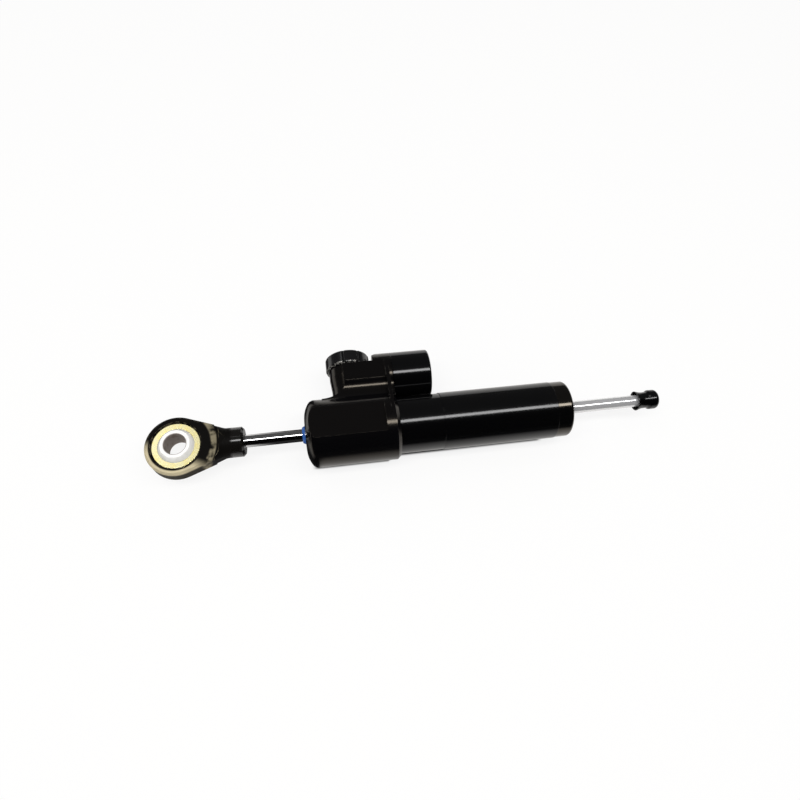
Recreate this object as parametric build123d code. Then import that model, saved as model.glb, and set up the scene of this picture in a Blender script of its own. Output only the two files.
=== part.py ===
from build123d import *
import math
import os

# Linear steering damper whose rod passes right through the body.
# Sizes are in millimetres. The origin is the centre of the eye bearing, +X runs along the rod
# to its free end, +Z runs along the bore of the eye and +Y points to the adjuster knob.

# Fits and overruns
FIT = 0.02
RUNNING = 0.04
OVERRUN = 1.0

# Eye bearing
BORE_R = 5.0
BORE_CHAMFER = 0.4
BALL_R = 9.0
BALL_WIDTH = 12.0
RACE_R = 11.0
RACE_WIDTH = 7.0
RACE_CHAMFER = 0.15

# Rod end housing
EYE_R = 14.2
EYE_THICKNESS = 8.4
EYE_BEVEL = 0.8
STAKE_WIDTH = 0.5
STAKE_DEPTH = 0.9
SHOULDER_X = 21.5
SHOULDER_BLEND_R = 9.0
SHOULDER_TURN_SPARE = 0.2
RAMP_START_X = 16.2
RAMP_R = 3.7
NECK_R = 7.1
NECK_LENGTH = 9.3
NECK_CHAMFER = 1.0
ROD_ENGAGEMENT = 14.0
ROD_HOLE_SPARE = 0.6
LOCK_SCREW_R = 1.5
LOCK_SCREW_SINK = 0.5
LOCK_HEX_R = 0.85
LOCK_HEX_DEPTH = 1.4

# Rod and its travel, counted from the pose of rest
ROD_R = 3.0
TRAVEL_TO_FREE_END = 26.5
TRAVEL_TO_EYE = 36.0
STOP_GAP = 2.0
ROD_TIP_CHAMFER = 0.5

# Head block
HEAD_LENGTH = 44.4
HEAD_WALL = 2.25
HEAD_NOSE = 5.4
HEAD_FACE_WALL = 1.25
HEAD_EDGE = 1.6
COLLAR_LENGTH = 3.4
HEAD_FLAT = 1.8
HEAD_FLAT_FROM_END = 6.4
BODY_LENGTH = 129.4

# Outer tube and liner
TUBE_R = 14.0
TUBE_WALL = 1.8
TUBE_RELIEF = 0.25
TUBE_SPIGOT_STEP = 0.5
TUBE_SPIGOT_LENGTH = 12.2
TUBE_SPIGOT_CHAMFER = 0.4
TUBE_RING_FROM_END = 3.0
CLAMP_SEAT_OFFSET = 1.8
OIL_GAP = 1.0
LINER_WALL = 1.2
LINER_SEAT = 6.0
LINER_PORT_R = 1.0
LINER_PORT_COUNT = 4
LINER_PORT_OFFSET = 2.2

# Rod glands, alike in the head and in the end cap
GLAND_LENGTH = 20.0
POCKET_R = 6.0
WIPER_DEPTH = 4.0
WIPER_LIP = 1.5
WIPER_LIP_R = 4.3
WIPER_TIP_WALL = 0.7
WIPER_RIM = 0.5
GLAND_WALL = 2.0
ROD_HOLE_GAP = 0.3
SEAL_LENGTH = 4.0
SEAL_GROOVE_DEPTH = 1.6
SEAL_GROOVE_WIDTH = 0.8
BUSH_LENGTH = 8.0
CLIP_THICKNESS = 1.1
CLIP_INNER_R = 4.9
CLIP_BITE = 0.6
CLIP_GAP = 2.4
CLIP_SIDE_GAP = 0.05

# End cap of the tube
CAP_FLANGE = 8.0
CAP_NOSE = 4.0
CAP_EDGE_R = 1.6

# Static O-rings
RING_WIRE_R = 0.45
RING_ROOM = 0.05

# Piston on the rod
PISTON_LENGTH = 10.0
PISTON_SIDE_GAP = 0.2
BAND_WIDTH = 6.0
BAND_THICKNESS = 0.9
ORIFICE_R = 0.6
ORIFICE_COUNT = 4
ROD_CLIP_THICKNESS = 0.8
ROD_CLIP_R = 4.2
ROD_CLIP_BITE = 0.4
ROD_CLIP_GAP = 1.6

# Free end stop on the rod
STOP_LENGTH = 11.4
STOP_R = 4.9
STOP_WAIST_R = 4.1
STOP_MOUTH_DEPTH = 3.5
STOP_MOUTH_LIP = 0.35
STOP_END_WALL = 2.5
STOP_SKIRT_SHARE = 0.34
STOP_WAIST_SHARE = 0.46
STOP_HEAD_SHARE = 0.62
STOP_SKIRT_SLOPE = 0.25
STOP_DOME_R = 2.0

# Reaction valve chamber beside the tube
CHAMBER_R = 12.0
CHAMBER_GAP = 1.0
CHAMBER_LENGTH = 19.0
CHAMBER_EDGE_R = 1.0
CHAMBER_BORE_R = 8.2
CHAMBER_END_WALL = 3.5
CHAMBER_SEAM = 0.35
CHAMBER_SPIGOT_R = 10.0
CHAMBER_SPIGOT = 5.0
FLOAT_LENGTH = 6.0
FLOAT_TRAVEL_IN = 1.2
FLOAT_TRAVEL_OUT = 3.0
FLOAT_SKIRT = 3.5
FLOAT_SKIRT_WALL = 1.2
FLOAT_RING_WIRE_R = 0.5
FLOAT_RING_X = 1.4
SPRING_WIRE_R = 0.5
SPRING_R = 5.6
SPRING_TURNS = 6
SPRING_END_GAP = 0.1
BLEED_R = 2.5
BLEED_HEX_R = 1.45
BLEED_HEX_DEPTH = 1.6

# Adjuster boss, knob and needle
KNOB_X_FROM_HEAD = 23.6
KNOB_R = 11.0
KNOB_HEIGHT = 7.2
KNOB_GAP = 0.3
KNOB_SIDE_GAP = 0.8
KNOB_EDGE = 1.2
KNOB_LOBES = 9
LOBE_GROOVE_R = 0.9
LOBE_GROOVE_SINK = 0.3
KNOB_RECESS_R = 6.0
KNOB_RECESS_DEPTH = 1.4
BOSS_R = 9.6
BOSS_RISE = 4.3
BOSS_TAPER = 0.6
BOSS_TAPER_LENGTH = 6.0
UPPER_START_SHARE = 0.3
UPPER_FLAT = 1.1
VALLEY_R = 7.0
WEB_FOOT_SHARE = 0.84
WEB_BLEND_R = 14.0
WEB_START = 9.2
NOTCH_WALL = 2.3
NOTCH_STEP_SHARE = 0.5
BUSHING_R = 5.5
BUSHING_LENGTH = 5.1
BUSHING_RING_WIRE_R = 0.4
BUSHING_INNER_RING = 1.4
BUSHING_OUTER_RING = 3.4
SPINDLE_R = 3.0
SPINDLE_COLLAR_R = 3.9
SPINDLE_COLLAR = 1.5
SPINDLE_COLLAR_GAP = 0.1
SPINDLE_TIP_GAP = 0.4
VALVE_BORE_R = 4.0
VALVE_THREAD_R = 1.5
VALVE_THREAD_GAP = 0.05
NEEDLE_PITCH = 0.75
NEEDLE_END_GAP = 0.5
NEEDLE_COLLAR = 3.0
NEEDLE_STEM_R = 1.6
NEEDLE_TIP_R = 0.6
NEEDLE_CONE = 2.0
NEEDLE_DIP = 0.8
SEAT_R = 1.5
SEAT_WALL = 4.6
PORT_R = 1.2
PORT_RISE = 3.0
RETURN_PORT_X = 6.5
RETURN_PORT_R = 1.0
KEY_PIN_R = 0.6
KEY_PIN_OFFSET = 2.7
KEY_PIN_DEPTH = 1.5
KNOB_SCREW_R = 1.5
KNOB_SCREW_LENGTH = 4.0
KNOB_SCREW_HEAD_R = 2.4
KNOB_SCREW_HEAD = 1.1
KNOB_SCREW_HEX_R = 1.0
KNOB_SCREW_HEX_DEPTH = 0.7
DETENT_R = 1.0
DETENT_OFFSET = 7.4
DETENT_RISE = 0.9
DETENT_HOLE_DEPTH = 5.6
DETENT_TRACK_DEPTH = 0.85
DETENT_TRACK_HALF = 1.1
DETENT_DIMPLES = 24
DETENT_DIMPLE_SINK = 0.25
DETENT_WIRE_R = 0.15
DETENT_TURNS = 5

# Places along the rod, worked out from the sizes above
NECK_END_X = SHOULDER_X + NECK_LENGTH
HEAD_X = NECK_END_X + TRAVEL_TO_FREE_END + STOP_GAP
HEAD_END_X = HEAD_X + HEAD_LENGTH
BODY_END_X = HEAD_X + BODY_LENGTH
STOP_X = BODY_END_X + TRAVEL_TO_EYE + STOP_GAP
CAVITY_X = HEAD_X + GLAND_LENGTH
CAVITY_END_X = BODY_END_X - GLAND_LENGTH
PISTON_SPARE = CAVITY_END_X - CAVITY_X - PISTON_LENGTH - TRAVEL_TO_EYE - TRAVEL_TO_FREE_END
PISTON_X = CAVITY_X + PISTON_SPARE / 2 + TRAVEL_TO_EYE
PISTON_END_X = PISTON_X + PISTON_LENGTH
ROD_X = NECK_END_X - ROD_ENGAGEMENT
ROD_END_X = STOP_X + STOP_LENGTH - STOP_END_WALL
TUBE_X = HEAD_END_X - TUBE_SPIGOT_LENGTH
CAP_X = BODY_END_X - CAP_FLANGE
HEAD_R = TUBE_R + HEAD_WALL
TUBE_SPIGOT_R = TUBE_R - TUBE_SPIGOT_STEP
TUBE_BORE_R = TUBE_R - TUBE_WALL
LINER_R = TUBE_BORE_R - OIL_GAP
LINER_BORE_R = LINER_R - LINER_WALL
LINER_END_X = CAVITY_END_X + CAP_NOSE

# Places of the chamber and the adjuster
CHAMBER_Y = TUBE_R + CHAMBER_GAP + CHAMBER_R
CHAMBER_X = HEAD_END_X + CHAMBER_SEAM
CHAMBER_END_X = CHAMBER_X + CHAMBER_LENGTH
CLAMP_SEAT_X = CHAMBER_END_X + CLAMP_SEAT_OFFSET
KNOB_X = HEAD_X + KNOB_X_FROM_HEAD
BOSS_TOP_Y = CHAMBER_Y + BOSS_RISE
KNOB_Y = BOSS_TOP_Y + KNOB_GAP
KNOB_TOP_Y = KNOB_Y + KNOB_HEIGHT
NOTCH_X = KNOB_X + KNOB_R + KNOB_SIDE_GAP
UPPER_X = KNOB_X - BOSS_R * UPPER_START_SHARE
POOL_X = NOTCH_X + NOTCH_WALL
FLOAT_X = POOL_X + FLOAT_TRAVEL_IN + OVERRUN
SPRING_END_X = CHAMBER_END_X - CHAMBER_END_WALL
SEAT_Y = LINER_R + SEAT_WALL
PORT_Y = SEAT_Y + PORT_RISE
BUSHING_Y = BOSS_TOP_Y - BUSHING_LENGTH
SPINDLE_Y = BUSHING_Y - SPINDLE_COLLAR - SPINDLE_COLLAR_GAP
NEEDLE_COLLAR_Y = SPINDLE_Y - NEEDLE_END_GAP - NEEDLE_COLLAR
SPINDLE_TOP_Y = KNOB_TOP_Y - KNOB_RECESS_DEPTH - SPINDLE_TIP_GAP


def turned(points):
    """A solid turned about the rod's line from (x, radius) points."""
    return revolve(make_face(Polyline(*points, close=True)), Axis.X)


def disc_x(start, end, radius, inner=0):
    """A plain disc or ring on the rod's line."""
    return turned([(start, inner), (start, radius), (end, radius), (end, inner)])


def turned_y(points):
    """A solid turned about the knob's line from (radius, y) points."""
    return Pos(KNOB_X, 0, 0) * revolve(make_face(Polyline(*points, close=True)), Axis.Y)


def disc_y(start, end, radius, inner=0):
    """A plain disc or ring on the knob's line."""
    return turned_y([(inner, start), (radius, start), (radius, end), (inner, end)])


def beside(shape):
    """Moves a shape from the rod's line to the chamber's line."""
    return Pos(0, CHAMBER_Y, 0) * shape


def o_ring(x, radius, wire_r):
    """A rubber ring round the rod's line."""
    section = Pos(x, radius) * Circle(wire_r)
    return revolve(section, Axis.X)


def hex_socket(radius, depth):
    """A six-sided hole along +Z from the origin."""
    return extrude(RegularPolygon(radius, 6), depth)


def coil(radius, wire_r, length, turns):
    """A wound spring along +Z that starts at the origin."""
    rise = length - 2 * wire_r
    line = Helix(pitch=rise / turns, height=rise, radius=radius)
    section = Plane(origin=line @ 0, z_dir=line % 0) * Circle(wire_r)
    return Pos(0, 0, wire_r) * sweep(section, path=line, is_frenet=True)


def eye_touch():
    """Where the straight side of the teardrop touches the round eye."""
    reach = math.hypot(SHOULDER_X, NECK_R)
    turn = math.atan2(NECK_R, SHOULDER_X) + math.acos(EYE_R / reach)
    return (EYE_R * math.cos(turn), EYE_R * math.sin(turn))


def eye_outline():
    """The teardrop outline of the rod end, seen along the bore."""
    touch_x, touch_y = eye_touch()
    end_x = NECK_END_X - NECK_CHAMFER
    left = ThreePointArc((touch_x, touch_y), (-EYE_R, 0), (touch_x, -touch_y))
    low = Polyline((touch_x, -touch_y), (SHOULDER_X, -NECK_R), (end_x, -NECK_R))
    end = Line((end_x, -NECK_R), (end_x, NECK_R))
    high = Polyline((end_x, NECK_R), (SHOULDER_X, NECK_R), (touch_x, touch_y))
    face = make_face(left + low + end + high)
    corners = face.vertices().filter_by_position(Axis.X, SHOULDER_X - FIT, SHOULDER_X + FIT)
    return fillet(corners, SHOULDER_BLEND_R)


def eye_plate():
    """The flat eye with bevelled rims, up to where the milled flats run out."""
    half = EYE_THICKNESS / 2
    plate = extrude(eye_outline(), half, both=True)
    rims = plate.edges().filter_by(GeomType.CIRCLE).filter_by(lambda e: e.radius > EYE_R - FIT)
    plate = chamfer(rims, EYE_BEVEL)
    keep = Box(2 * EYE_R + RAMP_START_X, 2 * EYE_R, EYE_THICKNESS,
               align=(Align.MAX, Align.CENTER, Align.CENTER))
    return plate & Pos(RAMP_START_X + OVERRUN, 0, 0) * keep


def neck_profile():
    """The side view of the neck, where a round cutter ended the flats."""
    half = EYE_THICKNESS / 2
    rise = NECK_R - half
    angle = math.acos(1 - rise / RAMP_R)
    end_x = RAMP_START_X + RAMP_R * math.sin(angle)
    middle_x = RAMP_START_X + RAMP_R * math.sin(angle / 2)
    middle_z = half + RAMP_R * (1 - math.cos(angle / 2))
    high = ThreePointArc((RAMP_START_X, half), (middle_x, middle_z), (end_x, NECK_R))
    low = ThreePointArc((RAMP_START_X, -half), (middle_x, -middle_z), (end_x, -NECK_R))
    right = Polyline((end_x, NECK_R), (NECK_END_X, NECK_R), (NECK_END_X, -NECK_R),
                     (end_x, -NECK_R))
    left = Line((RAMP_START_X, half), (RAMP_START_X, -half))
    face = Plane.XZ * make_face(high + right + low + left)
    return extrude(face, EYE_R, both=True)


def neck():
    """The turned neck that grows out of the eye plate."""
    touch_x, touch_y = eye_touch()
    spare = SHOULDER_TURN_SPARE
    form = turned([(touch_x, 0), (touch_x, touch_y + spare), (SHOULDER_X, NECK_R + spare),
                   (SHOULDER_X + NECK_CHAMFER, NECK_R), (NECK_END_X - NECK_CHAMFER, NECK_R),
                   (NECK_END_X - NECK_CHAMFER, 0)])
    form &= extrude(eye_outline(), NECK_R, both=True)
    form &= neck_profile()
    return form + turned([(SHOULDER_X + NECK_CHAMFER, 0), (SHOULDER_X + NECK_CHAMFER, NECK_R),
                          (NECK_END_X - NECK_CHAMFER, NECK_R), (NECK_END_X, NECK_R - NECK_CHAMFER),
                          (NECK_END_X, 0)])


def rod_end_housing():
    """The eye plate with its round neck, bored for the bearing and the rod."""
    half = EYE_THICKNESS / 2
    housing = eye_plate() + neck()
    housing -= Cylinder(RACE_R + FIT, EYE_THICKNESS + 2 * OVERRUN)
    for side in (-1, 1):
        depth = STAKE_DEPTH + OVERRUN
        groove = Cylinder(RACE_R + STAKE_WIDTH, depth)
        housing -= Pos(0, 0, side * (half - STAKE_DEPTH + depth / 2)) * groove
    housing -= disc_x(ROD_X - ROD_HOLE_SPARE, NECK_END_X + OVERRUN, ROD_R + FIT)
    screw_x = NECK_END_X - NECK_LENGTH / 2
    hole = Cylinder(LOCK_SCREW_R + FIT, NECK_R * 2, align=(Align.CENTER, Align.CENTER, Align.MAX))
    return housing - Pos(screw_x, 0, 0) * hole


def lock_screw():
    """The grub screw that pins the rod in the neck, from below."""
    length = NECK_R - ROD_R - LOCK_SCREW_SINK - FIT
    screw = Cylinder(LOCK_SCREW_R, length, align=(Align.CENTER, Align.CENTER, Align.MIN))
    screw -= hex_socket(LOCK_HEX_R, LOCK_HEX_DEPTH)
    return Pos(NECK_END_X - NECK_LENGTH / 2, 0, LOCK_SCREW_SINK - NECK_R) * screw


def bearing_outer_ring():
    """The plated outer ring, hollowed to the ball."""
    half = RACE_WIDTH / 2
    ring = Cylinder(RACE_R, RACE_WIDTH)
    ring = chamfer(ring.edges().filter_by(GeomType.CIRCLE), RACE_CHAMFER)
    mouth = math.sqrt(BALL_R ** 2 - half ** 2)
    return ring - Sphere(BALL_R + RUNNING) - Cylinder(mouth, RACE_WIDTH + OVERRUN)


def bearing_ball():
    """The steel ball with flat faces and the bolt's bore."""
    ball = Sphere(BALL_R) & Box(2 * BALL_R, 2 * BALL_R, BALL_WIDTH)
    ball -= Cylinder(BORE_R, BALL_WIDTH + OVERRUN)
    mouths = ball.edges().filter_by(GeomType.CIRCLE)
    mouths = mouths.filter_by(lambda e: e.radius < BORE_R + FIT)
    return chamfer(mouths, BORE_CHAMFER)


def through_rod():
    """The ground rod, with grooves for the piston's clips."""
    rod = turned([(ROD_X, 0), (ROD_X, ROD_R - ROD_TIP_CHAMFER), (ROD_X + ROD_TIP_CHAMFER, ROD_R),
                  (ROD_END_X - ROD_TIP_CHAMFER, ROD_R), (ROD_END_X, ROD_R - ROD_TIP_CHAMFER),
                  (ROD_END_X, 0)])
    for start in rod_clip_starts():
        rod -= disc_x(start, start + ROD_CLIP_THICKNESS, ROD_R + OVERRUN, ROD_R - ROD_CLIP_BITE)
    return rod


def rod_clip_starts():
    """Where the two clips beside the piston begin."""
    return (PISTON_X - FIT - ROD_CLIP_THICKNESS, PISTON_END_X + FIT)


def piston_clips():
    """Two open clips that hold the piston on the rod."""
    clips = []
    for start in rod_clip_starts():
        clip = disc_x(start, start + ROD_CLIP_THICKNESS, ROD_CLIP_R, ROD_R - ROD_CLIP_BITE + FIT)
        slot = Box(PISTON_LENGTH, ROD_CLIP_GAP, ROD_CLIP_R * 2)
        clips.append(clip - Pos(start, 0, ROD_CLIP_R) * slot)
    return Compound(children=clips)


def damping_piston():
    """The piston with its band groove and damping holes."""
    radius = LINER_BORE_R - PISTON_SIDE_GAP
    piston = disc_x(PISTON_X, PISTON_END_X, radius, ROD_R + FIT)
    middle = PISTON_X + PISTON_LENGTH / 2
    groove_r = LINER_BORE_R - BAND_THICKNESS - 2 * RUNNING
    half = BAND_WIDTH / 2 + RUNNING
    piston -= disc_x(middle - half, middle + half, LINER_BORE_R, groove_r)
    hole = Rot(0, 90, 0) * Cylinder(ORIFICE_R, PISTON_LENGTH + OVERRUN)
    ring_r = (ROD_R + groove_r) / 2 + ORIFICE_R
    for step in range(ORIFICE_COUNT):
        piston -= Rot(step * 360 / ORIFICE_COUNT, 0, 0) * Pos(middle, ring_r, 0) * hole
    return piston


def piston_band():
    """The sliding band between the piston and the liner."""
    middle = PISTON_X + PISTON_LENGTH / 2
    outer = LINER_BORE_R - RUNNING
    return disc_x(middle - BAND_WIDTH / 2, middle + BAND_WIDTH / 2, outer, outer - BAND_THICKNESS)


def free_end_stop():
    """The spool-shaped stop on the rod's free end, open like a bell towards the body."""
    end_x = STOP_X + STOP_LENGTH
    waist_x = STOP_X + STOP_LENGTH * STOP_WAIST_SHARE
    head_x = STOP_X + STOP_LENGTH * STOP_HEAD_SHARE
    skirt_x = STOP_X + STOP_LENGTH * STOP_SKIRT_SHARE
    mouth_r = STOP_R - STOP_MOUTH_LIP
    bell = Spline((STOP_X, STOP_R), (skirt_x, STOP_WAIST_R), tangents=[(1, -STOP_SKIRT_SLOPE), (1, 0)])
    waist = Line((skirt_x, STOP_WAIST_R), (waist_x, STOP_WAIST_R))
    rise = Spline((waist_x, STOP_WAIST_R), (head_x, STOP_R), tangents=[(1, 0), (1, 0)])
    crown = Line((head_x, STOP_R), (end_x - STOP_DOME_R, STOP_R))
    dome = ThreePointArc(
        (end_x - STOP_DOME_R, STOP_R),
        (end_x - STOP_DOME_R + STOP_DOME_R * math.sin(math.pi / 4),
         STOP_R - STOP_DOME_R + STOP_DOME_R * math.cos(math.pi / 4)),
        (end_x, STOP_R - STOP_DOME_R))
    inside = Polyline((end_x, STOP_R - STOP_DOME_R), (end_x, 0), (ROD_END_X + FIT, 0),
                      (ROD_END_X + FIT, ROD_R + FIT), (STOP_X + STOP_MOUTH_DEPTH, ROD_R + FIT),
                      (STOP_X, mouth_r), (STOP_X, STOP_R))
    return revolve(make_face(bell + waist + rise + crown + dome + inside), Axis.X)


def gland_bore(face_x, inward):
    """What is cut for a rod gland. inward is +1 from the head's face and -1 from the cap's."""
    wall_x = face_x + inward * WIPER_DEPTH
    pocket_x = wall_x + inward * GLAND_WALL
    inner_x = face_x + inward * (GLAND_LENGTH + OVERRUN)
    clip_x = pocket_x + inward * (SEAL_LENGTH + BUSH_LENGTH + CLIP_SIDE_GAP)
    clip_end = clip_x + inward * (CLIP_THICKNESS + 2 * CLIP_SIDE_GAP)
    cut = disc_x(*sorted((face_x - inward * OVERRUN, wall_x)), POCKET_R)
    cut += disc_x(*sorted((face_x, inner_x)), ROD_R + ROD_HOLE_GAP)
    cut += disc_x(*sorted((pocket_x, inner_x)), POCKET_R)
    return cut + disc_x(*sorted((clip_x, clip_end)), POCKET_R + CLIP_BITE)


def wiper_seal(face_x, inward):
    """The soft wiper with the lip that stands out round the rod."""
    inner = ROD_R + RUNNING
    tip_x = face_x - inward * WIPER_LIP
    back_x = face_x + inward * (WIPER_DEPTH - FIT)
    return turned([(tip_x, inner), (tip_x, inner + WIPER_TIP_WALL),
                   (face_x - inward * WIPER_RIM, WIPER_LIP_R),
                   (face_x, WIPER_LIP_R), (face_x, POCKET_R - FIT), (back_x, POCKET_R - FIT),
                   (back_x, inner)])


def rod_seal(face_x, inward):
    """The lip seal behind the wiper, grooved on its pressure side."""
    start = face_x + inward * (WIPER_DEPTH + GLAND_WALL + FIT)
    end = start + inward * (SEAL_LENGTH - 2 * FIT)
    seal = disc_x(*sorted((start, end)), POCKET_R - FIT, ROD_R + RUNNING)
    middle = (POCKET_R + ROD_R) / 2
    half = SEAL_GROOVE_WIDTH / 2
    groove = disc_x(*sorted((end - inward * SEAL_GROOVE_DEPTH, end + inward * OVERRUN)),
                    middle + half, middle - half)
    return seal - groove


def guide_bush(face_x, inward):
    """The plain bearing that guides the rod."""
    start = face_x + inward * (WIPER_DEPTH + GLAND_WALL + SEAL_LENGTH)
    end = start + inward * (BUSH_LENGTH - FIT)
    return disc_x(*sorted((start, end)), POCKET_R - FIT, ROD_R + RUNNING)


def gland_clip(face_x, inward):
    """The open ring that keeps the bush in its pocket."""
    start = face_x + inward * (WIPER_DEPTH + GLAND_WALL + SEAL_LENGTH + BUSH_LENGTH
                               + 2 * CLIP_SIDE_GAP)
    end = start + inward * CLIP_THICKNESS
    ring = disc_x(*sorted((start, end)), POCKET_R + CLIP_BITE - FIT, CLIP_INNER_R)
    slot = Box(GLAND_LENGTH / 2, CLIP_GAP, POCKET_R * 2)
    return ring - Pos(start, 0, -POCKET_R) * slot


def web_outline():
    """The web that joins the barrel to the chamber, seen along the bore of the eye."""
    start_x = HEAD_X + WEB_START
    foot_y = HEAD_R * WEB_FOOT_SHARE
    top_y = min(foot_y + WEB_BLEND_R, CHAMBER_Y)
    side_x = start_x + math.sqrt(WEB_BLEND_R ** 2 - (foot_y + WEB_BLEND_R - top_y) ** 2)
    middle = math.radians(45)
    blend = ThreePointArc((start_x, foot_y),
                          (start_x + WEB_BLEND_R * math.sin(middle),
                           foot_y + WEB_BLEND_R * (1 - math.cos(middle))),
                          (side_x, top_y))
    rest = Polyline((side_x, top_y), (HEAD_END_X, top_y), (HEAD_END_X, 0), (start_x, 0),
                    (start_x, foot_y))
    return make_face(blend + rest)


def head_web():
    """The web, hollowed on both sides by a round cutter that touches barrel and chamber."""
    low_reach = HEAD_R + VALLEY_R
    high_reach = CHAMBER_R + VALLEY_R
    centre_y = (low_reach ** 2 - high_reach ** 2 + CHAMBER_Y ** 2) / (2 * CHAMBER_Y)
    centre_z = math.sqrt(low_reach ** 2 - centre_y ** 2)
    bottom_z = centre_z - VALLEY_R
    low = (centre_y * HEAD_R / low_reach, centre_z * HEAD_R / low_reach)
    high = (CHAMBER_Y - (CHAMBER_Y - centre_y) * CHAMBER_R / high_reach,
            centre_z * CHAMBER_R / high_reach)
    upper = ThreePointArc(low, (centre_y, bottom_z), high)
    far = Polyline(high, (CHAMBER_Y, high[1]), (CHAMBER_Y, -high[1]), (high[0], -high[1]))
    lower = ThreePointArc((high[0], -high[1]), (centre_y, -bottom_z), (low[0], -low[1]))
    near = Polyline((low[0], -low[1]), (0, 0), low)
    section = Plane.YZ * make_face(upper + far + lower + near)
    length = HEAD_LENGTH - WEB_START
    return Pos(HEAD_X + WEB_START, 0, 0) * extrude(section, length) & extrude(
        web_outline(), HEAD_R, both=True)


def head_collar():
    """The flange near the head's end, flat from the barrel to the chamber."""
    slope = (HEAD_R - CHAMBER_R) / CHAMBER_Y
    level = math.sqrt(1 - slope ** 2)
    low = (HEAD_R * slope, HEAD_R * level)
    high = (CHAMBER_Y + CHAMBER_R * slope, CHAMBER_R * level)
    section = Plane.YZ * make_face(Polyline(low, high, (high[0], -high[1]), (low[0], -low[1]),
                                            close=True))
    return Pos(HEAD_END_X - COLLAR_LENGTH, 0, 0) * extrude(section, COLLAR_LENGTH - HEAD_EDGE)


def head_barrel():
    """The round barrel of the head with its domed nose."""
    face_r = POCKET_R + HEAD_FACE_WALL
    slant = math.sin(math.radians(45))
    dome = Spline((HEAD_X, face_r),
                  (HEAD_X + HEAD_NOSE * (1 - slant), face_r + (HEAD_R - face_r) * slant),
                  (HEAD_X + HEAD_NOSE, HEAD_R), tangents=[(0, 1), (1, 0)])
    rest = Polyline((HEAD_X + HEAD_NOSE, HEAD_R), (HEAD_END_X - HEAD_EDGE, HEAD_R),
                    (HEAD_END_X, HEAD_R - HEAD_EDGE), (HEAD_END_X, 0), (HEAD_X, 0),
                    (HEAD_X, face_r))
    return revolve(make_face(dome + rest), Axis.X)


def head_flats():
    """What is milled off the barrel on both sides, parallel to the faces of the eye."""
    length = HEAD_LENGTH - HEAD_FLAT_FROM_END + OVERRUN
    block = Box(length, 2 * HEAD_R, HEAD_R, align=(Align.MIN, Align.CENTER, Align.CENTER))
    middle_z = HEAD_R - HEAD_FLAT + HEAD_R / 2
    return [Pos(HEAD_X - OVERRUN, 0, side * middle_z) * block for side in (-1, 1)]


def head_solid():
    """The outside of the head block: barrel, web, chamber root, collar and adjuster boss."""
    upper = beside(disc_x(UPPER_X, HEAD_END_X - COLLAR_LENGTH, CHAMBER_R))
    upper &= Pos(UPPER_X, CHAMBER_Y, 0) * Box(2 * HEAD_LENGTH, 2 * CHAMBER_R,
                                             2 * (CHAMBER_R - UPPER_FLAT))
    upper += beside(disc_x(HEAD_END_X - COLLAR_LENGTH, HEAD_END_X, CHAMBER_R))
    root_r = BOSS_R - BOSS_TAPER
    boss = turned_y([(0, 0), (root_r, 0), (root_r, CHAMBER_Y - BOSS_TAPER_LENGTH),
                     (BOSS_R, CHAMBER_Y), (BOSS_R, BOSS_TOP_Y), (0, BOSS_TOP_Y)])
    room_y = BOSS_TOP_Y + (CHAMBER_Y + CHAMBER_R - BOSS_TOP_Y) * NOTCH_STEP_SHARE
    slope = CHAMBER_Y + CHAMBER_R + OVERRUN - room_y
    room = make_face(Polyline((HEAD_X, BOSS_TOP_Y), (NOTCH_X, BOSS_TOP_Y), (NOTCH_X, room_y),
                              (NOTCH_X + slope, room_y + slope), (HEAD_X, room_y + slope),
                              close=True))
    solid = head_barrel() - head_flats() + head_web() + upper + head_collar() + boss
    return solid - extrude(room, CHAMBER_R + OVERRUN, both=True)


def head_block():
    """The machined head with every bore and oil way."""
    head = head_solid() - gland_bore(HEAD_X, 1)
    head -= disc_x(CAVITY_X, CAVITY_X + LINER_SEAT, LINER_R + FIT)
    head -= disc_x(CAVITY_X + LINER_SEAT, TUBE_X, TUBE_BORE_R)
    head -= disc_x(TUBE_X - FIT, HEAD_END_X + OVERRUN, TUBE_SPIGOT_R + FIT)
    head -= ring_groove(tube_ring_x(), TUBE_SPIGOT_R, 1)
    head -= beside(disc_x(POOL_X, HEAD_END_X + OVERRUN, CHAMBER_BORE_R))
    head -= beside(disc_x(HEAD_END_X - CHAMBER_SPIGOT - FIT, HEAD_END_X + OVERRUN,
                          CHAMBER_SPIGOT_R + FIT))
    head -= disc_y(LINER_BORE_R, SEAT_Y + FIT, SEAT_R)
    head -= disc_y(SEAT_Y, BUSHING_Y, VALVE_BORE_R)
    head -= disc_y(BUSHING_Y - FIT, BOSS_TOP_Y + OVERRUN, BUSHING_R + FIT)
    head -= key_pin_shape(FIT)
    passage = Rot(0, 90, 0) * Cylinder(PORT_R, POOL_X + OVERRUN - KNOB_X,
                                       align=(Align.CENTER, Align.CENTER, Align.MIN))
    head -= Pos(KNOB_X, PORT_Y, 0) * passage
    return_hole = Rot(-90, 0, 0) * Cylinder(RETURN_PORT_R, PORT_Y - LINER_R,
                                            align=(Align.CENTER, Align.CENTER, Align.MIN))
    head -= Pos(KNOB_X + RETURN_PORT_X, LINER_R, 0) * return_hole
    return head - Pos(KNOB_X + DETENT_OFFSET, BOSS_TOP_Y, 0) * detent_hole()


def detent_hole():
    """The blind hole in the boss for the click ball and its spring."""
    depth = DETENT_HOLE_DEPTH + OVERRUN
    hole = Rot(90, 0, 0) * Cylinder(DETENT_R + RUNNING, depth,
                                    align=(Align.CENTER, Align.CENTER, Align.MIN))
    return Pos(0, OVERRUN, 0) * hole


def tube_ring_x():
    """Where the rubber ring between the tube and the head lies."""
    return HEAD_END_X - TUBE_RING_FROM_END


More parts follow.
